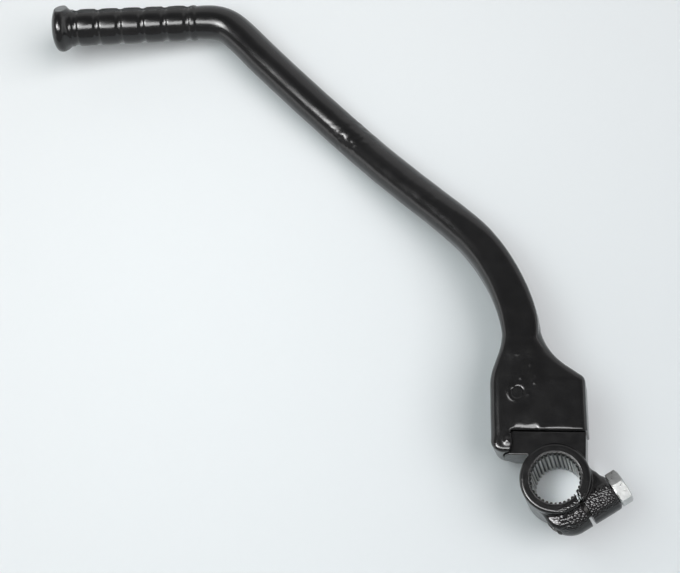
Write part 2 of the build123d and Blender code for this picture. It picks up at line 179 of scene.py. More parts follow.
def skin(field, lo, hi, h, block=4, relax=2):
    """Even quad mesh of a field's zero surface: points in millimetres and quads."""
    lo = np.array(lo, float)
    nb = np.ceil((np.array(hi, float) - lo) / (h * block)).astype(int)
    big = h * block
    axes = [lo[k] + (np.arange(nb[k]) + 0.5) * big for k in range(3)]
    centre = np.stack(np.meshgrid(*axes, indexing="ij"), -1).reshape(-1, 3)
    dc = chunks(field, centre)
    near = (np.abs(dc) < big * 1.1 + 0.4).reshape(nb)
    sign = np.where(dc < 0, -9.0, 9.0).astype(np.float32).reshape(nb)

    def spread(a):
        return a.repeat(block, 0).repeat(block, 1).repeat(block, 2)

    grid = np.pad(spread(sign), ((0, 1),) * 3, mode="edge")
    fine = spread(near)
    need = np.zeros(grid.shape, bool)
    nx, ny, nz = fine.shape
    for c in CORNER:
        need[c[0] : c[0] + nx, c[1] : c[1] + ny, c[2] : c[2] + nz] |= fine
    idx = np.argwhere(need)
    grid[need] = chunks(field, lo + idx * h).astype(np.float32)
    del need, fine, idx
    inside = grid < 0
    count = np.zeros((nx, ny, nz), np.uint8)
    for c in CORNER:
        count += inside[c[0] : c[0] + nx, c[1] : c[1] + ny, c[2] : c[2] + nz]
    active = (count > 0) & (count < 8)
    cell = np.argwhere(active)
    vals = np.stack([grid[cell[:, 0] + c[0], cell[:, 1] + c[1], cell[:, 2] + c[2]] for c in CORNER], 1).astype(float)
    total = np.zeros((len(cell), 3))
    hits = np.zeros(len(cell))
    for a, b in EDGES:
        va, vb = vals[:, a], vals[:, b]
        cross = (va < 0) != (vb < 0)
        t = np.where(cross, va / np.where(cross, va - vb, 1), 0)
        total += np.where(cross[:, None], CORNER[a] + t[:, None] * (CORNER[b] - CORNER[a]), 0)
        hits += cross
    verts = lo + (cell + total / hits[:, None]) * h
    vid = np.full((nx, ny, nz), -1, np.int32)
    vid[active] = np.arange(len(cell))
    quads = []
    for axis in range(3):
        s0 = [slice(1, -1)] * 3
        s1 = [slice(1, -1)] * 3
        s0[axis], s1[axis] = slice(0, -1), slice(1, None)
        first, second = inside[tuple(s0)], inside[tuple(s1)]
        e = np.argwhere(first != second)
        off = np.array([1, 1, 1])
        off[axis] = 0
        e = e + off
        b, c = (axis + 1) % 3, (axis + 2) % 3
        q = []
        for db, dc_ in ((-1, -1), (0, -1), (0, 0), (-1, 0)):
            m = e.copy()
            m[:, b] += db
            m[:, c] += dc_
            q.append(vid[m[:, 0], m[:, 1], m[:, 2]])
        q = np.stack(q, 1)
        flip = ~inside[e[:, 0], e[:, 1], e[:, 2]]
        q[flip] = q[flip][:, ::-1]
        quads.append(q)
    quads = np.concatenate(quads)
    quads = quads[(quads >= 0).all(1)]

    def settle(p):
        d = chunks(field, p)
        g = slope(field, p)
        g2 = np.maximum((g * g).sum(1), 0.2)
        move = -(d / g2)[:, None] * g
        length = np.linalg.norm(move, axis=1)
        return p + move * np.minimum(1, 0.5 * h / np.maximum(length, 1e-9))[:, None]

    pair = np.concatenate([quads[:, [k, (k + 1) % 4]] for k in range(4)])
    pair = np.concatenate([pair, pair[:, ::-1]])
    deg = np.bincount(pair[:, 0], minlength=len(verts)).astype(float)
    for _ in range(relax):
        mean = np.stack([np.bincount(pair[:, 0], verts[pair[:, 1], k], len(verts)) for k in range(3)], 1) / deg[:, None]
        verts = settle(verts * 0.45 + mean * 0.55)
    verts = settle(verts)
    return verts, quads


def mesh_object(name, verts, faces, smooth=True):
    me = bpy.data.meshes.new(name)
    me.from_pydata((np.asarray(verts) * MM).tolist(), [], [list(map(int, f)) for f in faces])
    me.update()
    if smooth:
        me.polygons.foreach_set("use_smooth", [True] * len(me.polygons))
    ob = bpy.data.objects.new(name, me)
    bpy.context.scene.collection.objects.link(ob)
    return ob


# ------------------------------------------------------------------ arm: shank path
corner = PEDAL_ROOT - PEDAL_DIR * 7.4
arm_dir = np.array(ARM[0][:3]) - corner
arm_dir /= np.linalg.norm(arm_dir)
BEND_R = 13.5
turn = math.acos(float(-PEDAL_DIR @ arm_dir))
tang = BEND_R * math.tan(turn / 2)
half_dir = PEDAL_DIR + arm_dir
half_dir /= np.linalg.norm(half_dir)
bend_c = corner + half_dir * BEND_R / math.cos(turn / 2)
e1 = corner + PEDAL_DIR * tang - bend_c
e1 /= np.linalg.norm(e1)
rows = []
for s, r in ((8.0, 5.3), (5.0, 5.6), (2.4, 6.06)):
    rows.append((*(PEDAL_ROOT + PEDAL_DIR * s), r, r, r - 0.05))
for k in range(9):
    a = turn * k / 8
    rows.append((*(bend_c + (e1 * math.cos(a) - PEDAL_DIR * math.sin(a)) * BEND_R), 6.15, 6.15, 6.1))
rows = np.array([list(r) for r in rows] + [list(r) for r in ARM])
t = np.concatenate([[0], np.cumsum(np.linalg.norm(np.diff(rows[:, :3], axis=0), axis=1))])
m = np.empty_like(rows)
m[0] = (rows[1] - rows[0]) / (t[1] - t[0])
m[-1] = (rows[-1] - rows[-2]) / (t[-1] - t[-2])
h0, h1 = np.diff(t)[:-1, None], np.diff(t)[1:, None]
m[1:-1] = (h1 * (rows[1:-1] - rows[:-2]) / h0 + h0 * (rows[2:] - rows[1:-1]) / h1) / (h0 + h1)
STEP = 0.6
x = np.arange(0, t[-1], STEP)
i = np.clip(np.searchsorted(t, x, side="right") - 1, 0, len(t) - 2)
hh = (t[i + 1] - t[i])[:, None]
q = ((x - t[i]) / hh[:, 0])[:, None]
path = (
    (2 * q**3 - 3 * q**2 + 1) * rows[i]
    + (q**3 - 2 * q**2 + q) * hh * m[i]
    + (-2 * q**3 + 3 * q**2) * rows[i + 1]
    + (q**3 - q**2) * hh * m[i + 1]
)
kernel = np.exp(-np.linspace(-2, 2, 17) ** 2)
kernel /= kernel.sum()
path = np.stack([np.convolve(np.pad(path[:, k], 8, mode="reflect", reflect_type="odd"), kernel, "valid") for k in range(6)], 1)
PC = path[:, :3].copy()
PT = np.gradient(PC, axis=0)
PT /= np.linalg.norm(PT, axis=1)[:, None]
PW = np.cross(PT, [0, 0, 1.0])
PW /= np.linalg.norm(PW, axis=1)[:, None]
PH = np.cross(PW, PT)
PA, PB, PR = path[:, 3], path[:, 4], np.minimum(path[:, 5], np.minimum(path[:, 3], path[:, 4]) - 0.02)
NP = len(PC)
COARSE = np.arange(4, NP, 9)
# where the shank is lowest, with a patch of wrinkled paint
scuff_at = np.array([-72.5, 119.5, 6.1])
SCUFF = float(np.argmin(((PC - scuff_at) ** 2).sum(1)) * STEP)


def shank(p):
    """Distance to the shank, with the place along it and across it."""
    c = PC[COARSE]
    d2 = (c * c).sum(1)[None] - 2 * p @ c.T
    i0 = COARSE[np.argmin(d2, 1)]
    win = np.clip(i0[:, None] + np.arange(-7, 8)[None], 0, NP - 1)
    dd = ((PC[win] - p[:, None]) ** 2).sum(2)
    i1 = win[np.arange(len(p)), np.argmin(dd, 1)]
    best, bi, bt = np.full(len(p), 1e9), None, None
    for s in (-1, 0):
        a = np.clip(i1 + s, 0, NP - 2)
        e = PC[a + 1] - PC[a]
        tt = np.clip(((p - PC[a]) * e).sum(1) / (e * e).sum(1), 0, 1)
        r = ((p - PC[a] - e * tt[:, None]) ** 2).sum(1)
        take = r < best
        best = np.where(take, r, best)
        bi = a if bi is None else np.where(take, a, bi)
        bt = tt if bt is None else np.where(take, tt, bt)

    def at(v):
        w = bt if v.ndim == 1 else bt[:, None]
        return v[bi] * (1 - w) + v[bi + 1] * w

    rel = p - at(PC)
    u = (rel * at(PW)).sum(1)
    v = (rel * at(PH)).sum(1)
    ends = ((bi == 0) & (bt <= 0)) | ((bi == NP - 2) & (bt >= 1))
    ax = np.where(ends, np.abs((rel * at(PT)).sum(1)), 0.0)
    a, b, r = at(PA), at(PB), at(PR)
    s = (bi + bt) * STEP
    r = np.where(u > 0, r, r * (1 - 0.45 * step(s, SCUFF + 38, SCUFF + 70)))
    qu, qv = np.abs(u) - (a - r), np.abs(v) - (b - r)
    d = np.sqrt(np.maximum(qu, 0) ** 2 + np.maximum(qv, 0) ** 2) + np.minimum(np.maximum(qu, qv), 0) - r
    d = np.where(ends, np.maximum(d, ax - 0.02), d)
    return d, s, u, v


# ------------------------------------------------------------------ arm: pedal profile
def land(s):
    return 6.55 + 0.0075 * s


prof = [(-6.0, 3.0), (6.22, 3.0), (land(4.6) - 0.2, 3.5)]


def arc3(a, b, c, n):
    """Points on the circle through three points, from a to c."""
    a, b, c = np.array(a), np.array(b), np.array(c)
    mat = np.array([b - a, c - b])
    rhs = np.array([(b @ b - a @ a) / 2, (c @ c - b @ b) / 2])
    o = np.linalg.solve(mat, rhs)
    ta, tb, tc = (math.atan2(*(w - o)[::-1]) for w in (a, b, c))
    d1 = (tb - ta + math.pi) % (2 * math.pi) - math.pi
    d2 = (tc - tb + math.pi) % (2 * math.pi) - math.pi
    r = np.linalg.norm(a - o)
    return [tuple(o + r * np.array([math.cos(ta + (d1 + d2) * k / n), math.sin(ta + (d1 + d2) * k / n)])) for k in range(1, n + 1)]


here = prof[-1]
for g in GROOVES:
    a = (land(g) - 0.16, g - 1.25)
    ms = (here[1] + a[1]) / 2
    top = land(ms) if a[1] - here[1] > 3 else (here[0] + a[0]) / 2 + 0.05
    prof += arc3(here, (top, ms), a, 8)
    b = (land(g) - 0.16, g + 1.25)
    prof += arc3(a, (land(g) - 0.66, g), b, 8)
    here = b
prof += [(6.72, 49.3), (6.8, 49.7), (7.05, 50.1), (7.4, 50.5), (7.85, 50.95), (8.3, 51.35), (8.65, 51.8), (8.85, 52.25), (8.9, 52.6),
         (8.84, 53.1), (8.7, 53.6), (8.45, 54.1), (8.1, 54.55), (7.6, 54.98), (6.9, 55.36), (6.0, 55.68), (4.8, 55.97), (3.4, 56.2), (1.8, 56.34), (0.0, 56.4), (-6.0, 56.4)]
PROF = np.array(prof)
side = np.array([0, 1.0, 0]) - PEDAL_DIR * PEDAL_DIR[1]
side /= np.linalg.norm(side)
front = np.cross(side, PEDAL_DIR)
front *= np.sign(front[2])
FLAT_N = side * math.cos(PEDAL_ROLL) + front * math.sin(PEDAL_ROLL)


def pedal(p):
    rel = p - PEDAL_ROOT
    s = rel @ PEDAL_DIR
    perp = rel - s[:, None] * PEDAL_DIR
    rho = np.linalg.norm(perp, axis=1)
    d = polygon(np.stack([rho, s], 1), PROF)
    flat = np.abs(perp @ FLAT_N) - (5.95 + 0.0075 * (s - 3.9))
    flat = flat - 1.2 * (1 - step(s, 3.6, 4.6)) - 1.2 * step(s, 48.4, 49.6)
    return smax(d, flat, 0.12)


# ------------------------------------------------------------------ arm: head
HEAD = rounded_outline([
    ((9.95, 12.0), 0), ((8.85, 32.35), 2.9), ((-3.18, 40.87), 22.0), ((-6.5, 51.5), 0), ((-17.4, 51.5), 0),
    ((-17.95, 42.6), 18.0), ((-21.2, 32.9), 18.0), ((-20.15, EAR_Y), 4.2), ((-11.0, EAR_Y), 0), ((-11.0, 12.0), 0),
])
SLANT = math.tan(math.radians(10.0))


def head(p):
    x, y, z = p.T
    d2 = polygon(p[:, :2], HEAD)
    # front and rear fall away at the shoulder and run into the shank at the top
    rise = 0.5 * ((y - 31.5) + np.sqrt((y - 31.5) ** 2 + 0.5))
    drop = SLANT * rise * step(x, -8.0, -1.5) + 0.030 * np.maximum(y - 42.0, 0) ** 2
    mid, half = (HEAD_FRONT + HEAD_REAR) / 2, (HEAD_FRONT - HEAD_REAR) / 2
    dz = (np.abs(z - mid) - half + drop) * 0.98
    r = (3.05 - 1.05 * step(x, -9, 1)) * (0.42 + 0.58 * step(y, 8.5, 14.0))
    a, b = d2 + r, dz + r
    return np.minimum(np.maximum(a, b), 0) + np.sqrt(np.maximum(a, 0) ** 2 + np.maximum(b, 0) ** 2) - r


def arm(p):
    x, y, z = p.T
    d, s, u, v = shank(p)
    # uneven forged skin, a parting line along both sides and a wrinkled patch of paint
    part = np.exp(-((v / 0.45) ** 2)) * step(np.abs(u), 3.5, 5.0) * step(s, 16, 30)
    d = d - 0.10 * part
    near = np.abs(d) < 3.0
    if near.any():
        q = p[near]
        rough = 0.055 * noise(q, 9.0, 1) + 0.022 * noise(q, 3.6, 2)
        sx = s[near]
        wr = np.exp(-(((sx - SCUFF + 3.0) / 8.0) ** 2)) * step(v[near], -1.0, 2.5)
        rough += wr * (0.12 * noise(q * np.array([1.0, 1.0, 0.6]), 1.35, 3) + 0.07 * noise(q, 2.6, 4))
        wide = np.exp(-(((sx - SCUFF - 38) / 26.0) ** 2)) * step(v[near], -2, 2)
        rough += wide * 0.030 * noise(q, 1.9, 5)
        d[near] += rough
    inner = x < -118
    if inner.any():
        q = p[inner]
        dp = pedal(q)
        dp = dp + 0.030 * noise(q, 2.4, 6) + 0.02 * noise(q, 5.0, 16)
        d[inner] = smin(d[inner], dp, 0.3)
    top = (y < 62) & (x > -32)
    if top.any():
        q = p[top]
        dh = head(q)
        dh = dh + 0.030 * noise(q, 7.0, 7) + 0.012 * noise(q, 2.4, 8)
        hx, hy, hz = q.T
        dd = smin(d[top], dh, 0.05 + 1.25 * (1 - step(hy, 39.0, 48.5)))
        ay, az = hx - FOLD_X, hz - FOLD_Z
        rad = np.sqrt(ay * ay + az * az)
        # milled notch that leaves the ear
        notch = np.maximum(np.minimum(rad - EAR_R, -ay), hy - NOTCH_Y)
        dd = smax(dd, -notch, 0.22)
        # burred and chipped front edge of the notch
        along = np.stack([hx, np.zeros(len(hx)), np.zeros(len(hx))], 1)
        chip = 0.04 + 0.46 * step(hx, -13.4, -12.4) * (1 - step(hx, -6.0, -4.6)) + 0.18 * step(hx, -3.4, -2.4) * (1 - step(hx, 4.2, 5.4))
        chip = chip * (1 + 0.16 * noise(along, 1.7, 9) + 0.14 * noise(along, 0.8, 19)) + 0.05 * noise(q, 1.0, 10)
        cut = (NOTCH_Y - hy) * 0.32 + (hz - HEAD_FRONT) * 0.947 + chip
        cut = np.where((hx > -14.2) & (hy > 14.0), cut, -9.0)
        dd = smax(dd, cut, 0.18)
        # stub's bore, ball track and the pin's hole with its staked rim
        bore = np.maximum(rad - 5.6, hy - 36.6)
        dd = np.maximum(dd, -bore)
        ring = np.sqrt((rad - 4.4) ** 2 + (hy - 32.4) ** 2) - 2.15
        ring = np.where((ay < 0) & (az > 0), ring, 9.0)
        for cx, cz in ((0.0, 4.4), (-4.4, 0.0)):
            ring = np.minimum(ring, np.sqrt((ay - cx) ** 2 + (hy - 32.4) ** 2 + (az - cz) ** 2) - 2.15)
        dd = np.maximum(dd, -ring)
        pr = np.sqrt((hx - PIN_X) ** 2 + (hy - PIN_Y) ** 2)
        lean = np.clip(-(hx - PIN_X) * 0.42 - (hy - PIN_Y) * 0.08, 0, 1)
        dd = dd + 0.05 * (1 - step(pr, 2.0, 2.75)) * step(hz, 22.0, 23.0)
        dd = np.maximum(dd, 2.02 - 0.34 * step(hz, 22.6, 22.9) - pr)
        rim = np.sqrt((pr - 2.75) ** 2 + ((hz - HEAD_FRONT) * 0.9) ** 2)
        dd = dd - 0.17 * lean * np.exp(-((rim / 0.5) ** 2))
        pock = np.sqrt((hx + 13.5) ** 2 + (hy - 28.6) ** 2 + (hz - HEAD_FRONT) ** 2)
        dd = dd - 0.12 * np.exp(-((pock / 0.6) ** 2))
        # drip of paint on the ear, specks
        drip = ((hx + 14.9) ** 2 + ((hy - 11.5) * 0.85) ** 2) / 0.95**2
        dd = dd - 0.62 * np.exp(-drip) * step(hz, 21.0, 22.5)
        for cx, cy, cr, ch in ((-6.6, 30.0, 0.45, 0.16), (-11.0, 31.6, 0.5, 0.14), (-6.3, 32.4, 0.45, 0.12), (-8.6, 26.4, 0.5, 0.10), (-12.2, 39.4, 0.45, 0.16), (-8.0, 36.0, 0.5, 0.12)):
            g = ((hx - cx) ** 2 + (hy - cy) ** 2 + (hz - HEAD_FRONT) ** 2) / cr**2
            dd = dd - ch * np.exp(-g)
        pits = np.exp(-(((hx + 8.0) / 6.0) ** 2 + ((hy - 33.0) / 9.0) ** 2)) * step(hz, 21.5, 23.0)
        dd = dd - pits * 0.075 * np.clip(noise(q, 1.05, 11) - 0.35, 0, 1)
        d[top] = dd
    return d


av, af = skin(arm, (-190.5, 5.5, -2.0), (12.5, 181.5, 30.5), 0.45)
arm_obj = mesh_object("arm_body", av, af)
mid = av[af].mean(1)
nor = np.cross(av[af[:, 2]] - av[af[:, 0]], av[af[:, 3]] - av[af[:, 1]])
nor /= np.maximum(np.linalg.norm(nor, axis=1), 1e-9)[:, None]
along_s = (mid - PEDAL_ROOT) @ PEDAL_DIR
TRIMMED = (np.abs(nor @ FLAT_N) > 0.975) & (along_s > 4.0) & (along_s < 49.0) & (np.abs((mid - PEDAL_ROOT) @ FLAT_N) > 5.7)

# ------------------------------------------------------------------ hub
UX, UY = math.cos(CLAMP), math.sin(CLAMP)
RING = np.array([(-6, 0), (10.45, 0), (11.05, 0.6), (11.05, 21.9)] + [(9.95 + 1.1 * math.cos(a), 21.9 + 1.1 * math.sin(a)) for a in np.linspace(0.25, math.pi / 2, 7)] + [(-6, 23.0)], float)
NOSE_R, LUG_R, LUG_IN, LUG_OUT = 8.0, 5.8, -9.2, 13.4
nose = [(LUG_R - NOSE_R + NOSE_R * math.cos(a), LUG_IN + NOSE_R - NOSE_R * math.sin(a)) for a in np.linspace(0, math.radians(74), 14)]
BARREL = np.array(
    [(-6, LUG_OUT), (LUG_R - 1.3, LUG_OUT)]
    + [(LUG_R - 1.3 + 1.3 * math.sin(a), LUG_OUT - 1.3 + 1.3 * math.cos(a)) for a in np.linspace(0.2, math.pi / 2, 7)]
    + nose + [(-6, LUG_IN + 0.31)]
)
WEB = rounded_outline([
    ((0, 0), 0), ((10.3, 1.2), 1.5), ((12.0, 4.2), 2.5), ((12.8, 8.0), 2.0), ((12.8, 12.0), 0),
    ((-4.0, 13.0), 0), ((-7.3, 13.3), 1.0), ((-8.7, 11.6), 1.5), ((-9.15, 9.4), 2.0), ((-9.15, 4.5), 0),
], 6)


def hub(p):
    x, y, z = p.T
    u = x * UX + y * UY
    v = x * UY - y * UX
    rho = np.sqrt(x * x + y * y)
    d = polygon(np.stack([rho, z], 1), RING)
    ax, az = x - FOLD_X, z - FOLD_Z
    rad = np.sqrt(ax * ax + az * az)
    neck = np.minimum(np.maximum(rad - 10.85, 7.4 - y), np.maximum(np.maximum(-ax, x - 9.3), 4.4 - y))
    neck = np.maximum(neck, y - 15.05)
    neck = smax(smax(neck, az - 6.0, 0.35), -az - 7.8, 0.35)
    ledge = np.maximum(np.abs(x - (FOLD_X - 13.0 + 6.3) / 2) - (6.3 - FOLD_X + 13.0) / 2, np.abs(y - 12.725) - 2.125)
    ledge = smax(ledge, np.abs(z - (FOLD_Z - 9.775)) - 1.625, 0.6)
    root = np.maximum(np.abs(x + 0.5) - 5.5, np.abs(y - 9.4) - 5.45)
    root = np.maximum(root, np.abs(z - (FOLD_Z - 5.7)) - 5.7)
    ledge = smin(ledge, root, 0.5)
    d = smin(d, smin(neck, ledge, 0.4), 0.5)
    bz = z - CLAMP_Z
    br = np.sqrt((v - CLAMP_V) ** 2 + bz * bz)
    barrel = polygon(np.stack([br, u], 1), BARREL)
    w2 = polygon(np.stack([u, v], 1), WEB)
    r = 1.6
    a, b = w2 + r, np.abs(bz) - 4.7 + r
    web = np.minimum(np.maximum(a, b), 0) + np.sqrt(np.maximum(a, 0) ** 2 + np.maximum(b, 0) ** 2) - r
    lug = smin(barrel, web, 1.6)
    near = np.abs(lug) < 1.5
    if near.any():
        q = p[near]
        band = np.exp(-(((v[near] - CLAMP_V + 0.4) / 3.6) ** 2)) * step(bz[near], 1.0, 3.5) * step(u[near], -6.5, -3.5)
        lug[near] += 0.02 * noise(q, 2.2, 22) - band * 0.02 * noise(q, 0.95, 21)
    d = smin(d, lug, 1.0)
    skin_n = np.abs(d) < 1.0
    if skin_n.any():
        q = p[skin_n]
        d[skin_n] += 0.022 * noise(q, 4.0, 24) + 0.012 * noise(q, 1.6, 25)
    d = np.maximum(d, u - LUG_OUT - 60 * (v < 4.0))
    slit = np.maximum(np.abs(u - 2.9) - 0.6, 4.0 - v)
    d = smax(d, -slit, 0.25)
    hole = br - np.where(u > 2.9, 3.3, 3.12)
    hole = np.where(v > 5.0, hole, 9.0)
    d = smax(d, -hole, 0.2)
    d = smax(d, 8.24 - rho, 0.05)
    stub = np.maximum(rad - 5.5, np.maximum(13.0 - y, y - 35.8))
    groove = np.maximum(np.abs(y - 27.1) - 2.08, 4.36 - rad)
    seal = np.maximum(np.abs(y - 18.3) - 1.05, 3.6 - rad)
    well = np.maximum(np.sqrt(ax * ax + (y - 32.4) ** 2) - 2.06, -4.2 - az)
    stub = np.maximum(stub, -np.minimum(np.minimum(groove, seal), well))
    return np.minimum(d, stub)


hv, hf = skin(hub, (-20.5, -19.0, -1.0), (23.0, 37.5, 24.5), 0.285)
hub_obj = mesh_object("hub_body", hv, hf)

# serrated bore as its own fine skin
TEETH, TIP, ROOT, TIP_W, ROOT_W = 36, 7.4, 8.0, 3.9, 2.7
flank = (360 / TEETH - TIP_W - ROOT_W) / 2
samples = []
for k in range(TEETH):
    a = k * 360 / TEETH
    for f, r in ((0.0, TIP - 0.0), (0.06, TIP), (0.5, TIP), (0.94, TIP), (1.0, TIP)):
        edge = 0.045 if f in (0.0, 1.0) else 0.0
        samples.append((a + TIP_W * f, r + edge))
    for f in (0.3, 0.7):
        samples.append((a + TIP_W + flank * f, TIP + (ROOT - TIP) * f))
    for f in (0.0, 0.15, 0.85, 1.0):
        samples.append((a + TIP_W + flank + ROOT_W * f, ROOT - (0.05 if f in (0.0, 1.0) else 0.0)))
    for f in (0.3, 0.7):
        samples.append((a + TIP_W + flank + ROOT_W + flank * f, ROOT + (TIP - ROOT) * f))
slit_mid = math.degrees(math.atan2(-UX, UY)) + math.degrees(math.asin(2.9 / 7.8))
cut_in = [math.degrees(math.atan2(-UX, UY)) + math.degrees(math.asin(w / 7.7)) for w in (2.3, 3.5)]
cut_out = [math.degrees(math.atan2(-UX, UY)) + math.degrees(math.asin(w / 8.6)) for w in (2.3, 3.5)]


def past(a, start):
    return (a - start) % 360


span = past(cut_in[0], cut_in[1])
kept = sorted((past(a, cut_in[1]), r) for a, r in samples if 0.05 < past(a, cut_in[1]) < span - 0.05)


def tooth_r(ang):
    ang = ang % (360 / TEETH)
    pts = [(0, TIP), (TIP_W, TIP), (TIP_W + flank, ROOT), (TIP_W + flank + ROOT_W, ROOT), (360 / TEETH, TIP)]
    return float(np.interp(ang, [q_[0] for q_ in pts], [q_[1] for q_ in pts]))


line = [(cut_in[1], tooth_r(cut_in[1]), cut_out[1])]
line += [(cut_in[1] + a, r, cut_in[1] + a) for a, r in kept]
line += [(cut_in[1] + span, tooth_r(cut_in[0]), cut_in[1] + past(cut_out[0], cut_in[1]))]
LEVELS = 16
MOUTH = 8.22
sv, sf = [], []
for ai, r, ao in line:
    ci, si = math.cos(math.radians(ai)), math.sin(math.radians(ai))
    co, so = math.cos(math.radians(ao)), math.sin(math.radians(ao))
    top = 23.0 - (MOUTH - r)
    ring = [(r * ci, r * si, 0.03 + (top - 0.03) * k / LEVELS) for k in range(LEVELS + 1)]
    ring += [((r + 0.5 * (MOUTH - r)) * ci, (r + 0.5 * (MOUTH - r)) * si, top + 0.5 * (23.0 - top))]
    ring += [(MOUTH * co, MOUTH * so, 22.98), (8.5 * co, 8.5 * so, 22.7), (8.5 * co, 8.5 * so, 0.03)]
    sv += ring
per = LEVELS + 5
for k in range(len(line) - 1):
    for j in range(per):
        a, b = k * per + j, k * per + (j + 1) % per
        sf.append((a, b, b + per, a + per))
sf.append(tuple(range(per))[::-1])
sf.append(tuple((len(line) - 1) * per + j for j in range(per)))
bore_obj = mesh_object("hub_serrations", np.array(sv), sf)

# ------------------------------------------------------------------ pinch bolt with eased edges
bolt_me = nodes["pinch_bolt"].data.copy()
bolt_obj = bpy.data.objects.new("bolt_body", bolt_me)
bpy.context.scene.collection.objects.link(bolt_obj)
weld = bolt_obj.modifiers.new("weld", "WELD")
weld.merge_threshold = 1e-5
bev = bolt_obj.modifiers.new("bevel", "BEVEL")
bev.width = 0.00016
bev.segments = 2
bev.limit_method = "ANGLE"
bev.angle_limit = math.radians(28)
bev.harden_normals = False
dg = bpy.context.evaluated_depsgraph_get()
made = bpy.data.meshes.new_from_object(bolt_obj.evaluated_get(dg))
bolt_obj.modifiers.clear()
bolt_obj.data = made
made.polygons.foreach_set("use_smooth", [True] * len(made.polygons))
made.set_sharp_from_angle(angle=math.radians(9))


# ------------------------------------------------------------------ materials
def material(name):
    mat = bpy.data.materials.new(name)
    mat.use_nodes = True
    nt = mat.node_tree
    bsdf = next(n for n in nt.nodes if n.type == "BSDF_PRINCIPLED")
    return mat, nt, bsdf


def coords(nt):
    return nt.nodes.new("ShaderNodeTexCoord").outputs["Object"]


def noise_node(nt, vec, scale, detail=3.0, rough=0.55):
    n = nt.nodes.new("ShaderNodeTexNoise")
    n.inputs["Scale"].default_value = scale
    n.inputs["Detail"].default_value = detail
    n.inputs["Roughness"].default_value = rough
    nt.links.new(vec, n.inputs["Vector"])
    return n.outputs["Fac"]


def ramp(nt, fac, stops):
    r = nt.nodes.new("ShaderNodeValToRGB")
    el = r.color_ramp.elements
    while len(el) < len(stops):
        el.new(0.5)
    for e, (pos, col) in zip(el, stops):
        e.position = pos
        e.color = (*col, 1) if len(col) == 3 else col
    nt.links.new(fac, r.inputs["Fac"])
    return r.outputs["Color"]


def grey(v):
    return (v, v, v)


def bump(nt, bsdf, height, strength, distance):
    b = nt.nodes.new("ShaderNodeBump")
    b.inputs["Strength"].default_value = strength
    b.inputs["Distance"].default_value = distance
    nt.links.new(height, b.inputs["Height"])
    nt.links.new(b.outputs["Normal"], bsdf.inputs["Normal"])
    return b


def paint(name, r0, r1, peel, grain):
    mat, nt, bsdf = material(name)
    c = coords(nt)
    nt.links.new(ramp(nt, noise_node(nt, c, 70, 4), [(0.3, (0.0030, 0.0030, 0.0034)), (0.7, (0.0058, 0.0056, 0.0060))]), bsdf.inputs["Base Color"])
    nt.links.new(ramp(nt, noise_node(nt, c, 160, 5), [(0.3, grey(r0)), (0.72, grey(r1))]), bsdf.inputs["Roughness"])
    bsdf.inputs["IOR"].default_value = 1.5
    bump(nt, bsdf, noise_node(nt, c, grain, 2.5), peel, 0.0002)
    return mat


paint_arm = paint("gloss_black_arm", 0.15, 0.24, 0.10, 1500)
paint_pin = paint("gloss_black_pin", 0.17, 0.28, 0.12, 1100)
# the hub's casting is grainier on the lugs
paint_hub, nt, bsdf = material("gloss_black_hub")
c = coords(nt)
nt.links.new(ramp(nt, noise_node(nt, c, 70, 4), [(0.3, (0.0030, 0.0030, 0.0034)), (0.7, (0.0062, 0.0060, 0.0064))]), bsdf.inputs["Base Color"])
nt.links.new(ramp(nt, noise_node(nt, c, 300, 5), [(0.3, grey(0.15)), (0.72, grey(0.25))]), bsdf.inputs["Roughness"])
bsdf.inputs["IOR"].default_value = 1.5


def across(nt, vec, axis):
    n = nt.nodes.new("ShaderNodeVectorMath")
    n.operation = "DOT_PRODUCT"
    n.inputs[1].default_value = axis
    nt.links.new(vec, n.inputs[0])
    return n.outputs["Value"]


def window(nt, value, a, b, c_, d):
    """Nought below a and above d, one between b and c_."""
    out = []
    for lo_, hi_ in ((a, b), (d, c_)):
        n = nt.nodes.new("ShaderNodeMapRange")
        n.inputs["From Min"].default_value = lo_
        n.inputs["From Max"].default_value = hi_
        nt.links.new(value, n.inputs["Value"])
        out.append(n.outputs["Result"])
    n = nt.nodes.new("ShaderNodeMath")
    n.operation = "MULTIPLY"
    nt.links.new(out[0], n.inputs[0])
    nt.links.new(out[1], n.inputs[1])
    return n.outputs["Value"]


def times(nt, a, b):
    n = nt.nodes.new("ShaderNodeMath")
    n.operation = "MULTIPLY"
    nt.links.new(a, n.inputs[0])
    nt.links.new(b, n.inputs[1])
    return n.outputs["Value"]


def grains(nt, vec, scale):
    """Rounded grains, one dome to a cell."""
    n = nt.nodes.new("ShaderNodeTexVoronoi")
    n.inputs["Scale"].default_value = scale
    nt.links.new(vec, n.inputs["Vector"])
    inverse = nt.nodes.new("ShaderNodeMath")
    inverse.operation = "SUBTRACT"
    inverse.inputs[0].default_value = 1.0
    nt.links.new(times(nt, n.outputs["Distance"], n.outputs["Distance"]), inverse.inputs[1])
    return inverse.outputs["Value"]


vband = window(nt, across(nt, c, (math.sin(CLAMP), -math.cos(CLAMP), 0)), 0.0085, 0.0100, 0.0150, 0.0165)
zband = window(nt, across(nt, c, (0, 0, 1)), 0.0165, 0.0185, 0.0230, 0.0240)
uband = window(nt, across(nt, c, (math.cos(CLAMP), math.sin(CLAMP), 0)), -0.0080, -0.0050, 0.0128, 0.0138)
rough_cast = times(nt, times(nt, vband, zband), times(nt, uband, grains(nt, c, 1200)))
low = nt.nodes.new("ShaderNodeBump")
low.inputs["Strength"].default_value = 0.14
low.inputs["Distance"].default_value = 0.0002
nt.links.new(noise_node(nt, c, 1300, 2.5), low.inputs["Height"])
cast = bump(nt, bsdf, rough_cast, 1.0, 0.00031)
nt.links.new(low.outputs["Normal"], cast.inputs["Normal"])

